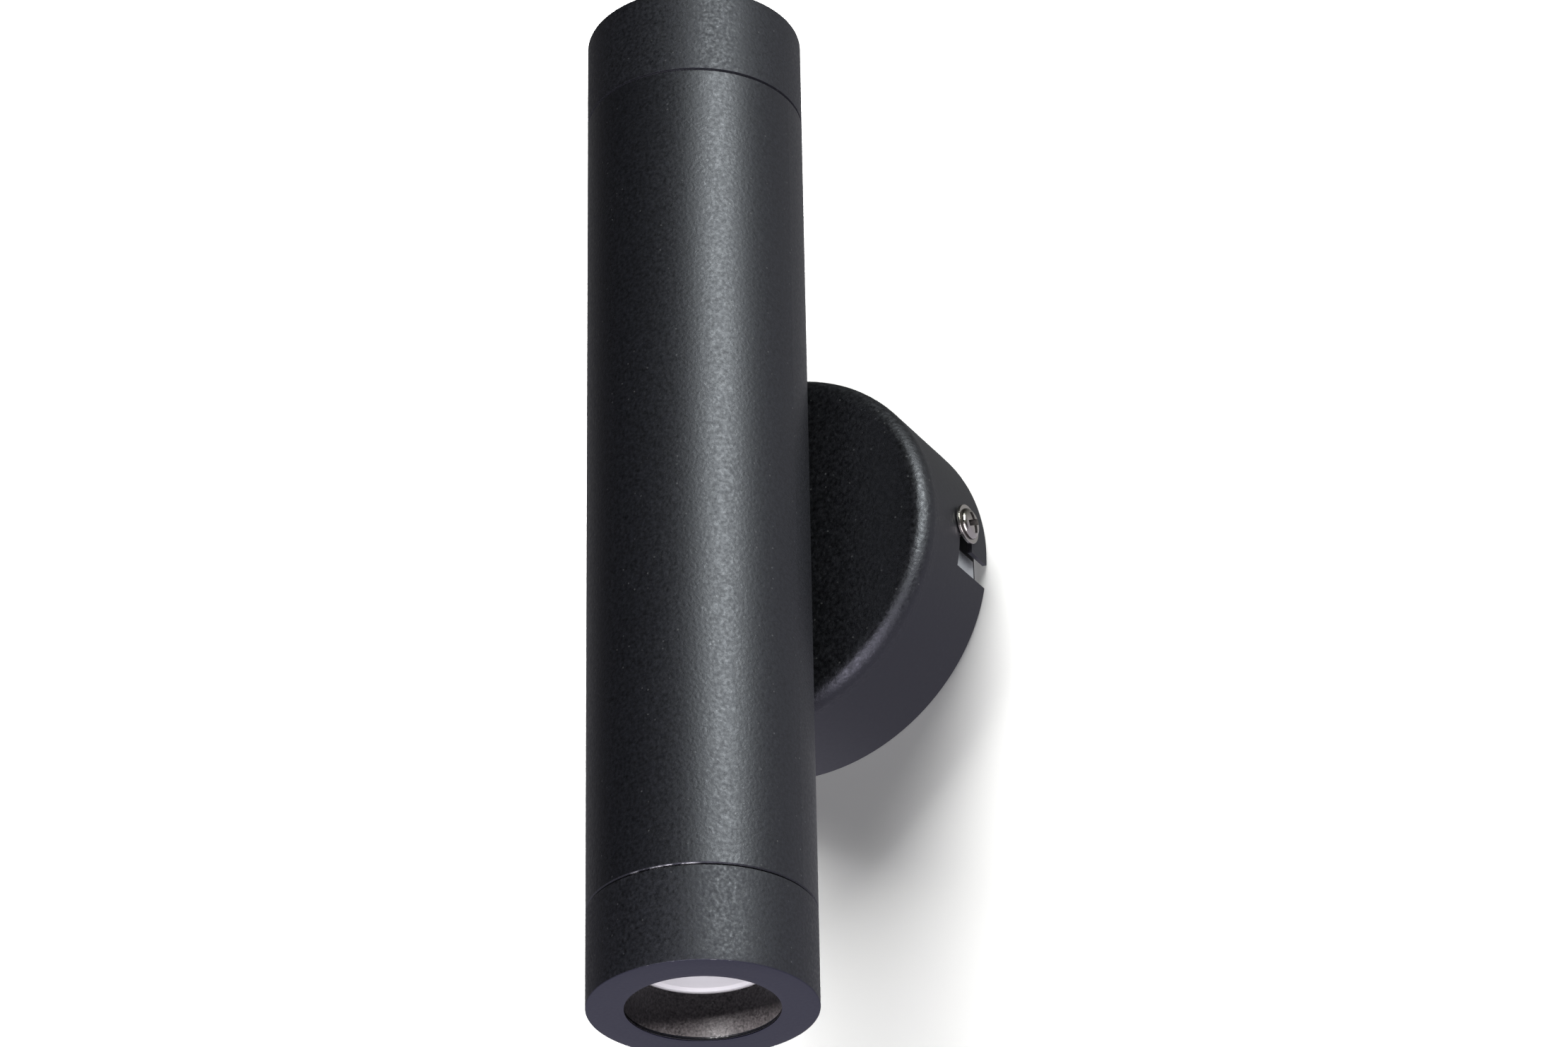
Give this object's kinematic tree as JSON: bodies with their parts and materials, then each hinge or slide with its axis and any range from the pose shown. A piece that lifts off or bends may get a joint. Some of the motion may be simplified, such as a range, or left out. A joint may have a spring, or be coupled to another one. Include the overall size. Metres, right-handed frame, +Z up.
{
  "type": "up and down wall lamp",
  "caption": "Black tube wall light on a round canopy, with a screw-off ring, glare insert and twist-lock reflector lamp at each end and a hook-on wall bracket.",
  "frame": {"origin": "on the wall, midway between the two slots of the wall bracket", "axes": "+X to the right along the bracket, +Y into the wall, +Z up along the tube"},
  "size_m": [0.1054, 0.088, 0.276],
  "materials": {
    "black_powder_coat_steel": "fine sand-textured satin black powder coat on steel sheet",
    "black_powder_coat_aluminium": "fine sand-textured satin black powder coat on aluminium",
    "insert_black": "matt black, lightly speckled",
    "zinc_plated_steel": "bright zinc plating",
    "nickel_plated_steel": "nickel plating",
    "bare_brass": "bare brass",
    "holder_ceramic": "unglazed steatite",
    "white_plastic": "satin white plastic",
    "frosted_lens": "frosted white diffuser",
    "live_insulation": "brown silicone insulation",
    "neutral_insulation": "blue silicone insulation",
    "earth_insulation": "green and yellow insulation"
  },
  "bodies": {
    "bracket": {"wall_bracket": "zinc_plated_steel", "side_screws": "nickel_plated_steel"},
    "fixture": {"canopy": "black_powder_coat_steel", "nipple": "nickel_plated_steel", "canopy_nut": "nickel_plated_steel", "lock_washer": "zinc_plated_steel", "tube_nut": "nickel_plated_steel", "wire_bushes": "white_plastic", "tube_body": "black_powder_coat_aluminium", "lampholder_strip": "zinc_plated_steel", "lower_lampholder": "holder_ceramic", "upper_lampholder": "holder_ceramic", "holder_screws": "zinc_plated_steel", "holder_nuts": "zinc_plated_steel", "lamp_contacts": "bare_brass", "live_wires": "live_insulation", "neutral_wires": "neutral_insulation", "earth_wire": "earth_insulation", "terminal_plate": "zinc_plated_steel", "terminal_block": "white_plastic", "terminal_barrels": "bare_brass", "clamp_screws": "zinc_plated_steel", "block_screws": "zinc_plated_steel", "earth_tag": "zinc_plated_steel", "earth_screw": "bare_brass"},
    "lower_lamp": {"lower_lamp_shell": "white_plastic", "lower_lamp_lens": "frosted_lens", "lower_lamp_cap": "white_plastic", "lower_lamp_pins": "nickel_plated_steel"},
    "upper_lamp": {"upper_lamp_shell": "white_plastic", "upper_lamp_lens": "frosted_lens", "upper_lamp_cap": "white_plastic", "upper_lamp_pins": "nickel_plated_steel"},
    "lower_glare_insert": {"lower_insert": "insert_black"},
    "upper_glare_insert": {"upper_insert": "insert_black"},
    "lower_end_ring": {"lower_ring": "black_powder_coat_aluminium"},
    "upper_end_ring": {"upper_ring": "black_powder_coat_aluminium"}
  },
  "joints": [
    {"name": "canopy_twist", "type": "hinge", "parent": "bracket", "child": "fixture", "pos_m": [0, 0, 0], "axis": [0, -1, 0], "range_deg": [0, 11]},
    {"name": "lower_lamp_twist", "type": "hinge", "parent": "fixture", "child": "lower_lamp", "pos_m": [0, -0.06, -0.08], "axis": [0, 0, -1], "range_deg": [0, 25]},
    {"name": "upper_lamp_twist", "type": "hinge", "parent": "fixture", "child": "upper_lamp", "pos_m": [0, -0.06, 0.08], "axis": [0, 0, 1], "range_deg": [0, 25]},
    {"name": "lower_ring_travel", "type": "slide", "parent": "fixture", "child": "lower_glare_insert", "axis": [0, 0, -1], "range_m": [0, 0.0075]},
    {"name": "lower_ring_turn", "type": "hinge", "parent": "lower_glare_insert", "child": "lower_end_ring", "pos_m": [0, -0.06, -0.1255], "axis": [0, 0, -1], "range_deg": [0, 1800]},
    {"name": "upper_ring_travel", "type": "slide", "parent": "fixture", "child": "upper_glare_insert", "axis": [0, 0, 1], "range_m": [0, 0.0075]},
    {"name": "upper_ring_turn", "type": "hinge", "parent": "upper_glare_insert", "child": "upper_end_ring", "pos_m": [0, -0.06, 0.1255], "axis": [0, 0, 1], "range_deg": [0, 1800]}
  ],
  "couplings": [
    {"joint": "lower_ring_travel", "follows": "lower_ring_turn", "m_per_rad": 0.00023873},
    {"joint": "upper_ring_travel", "follows": "upper_ring_turn", "m_per_rad": 0.00023873}
  ]
}
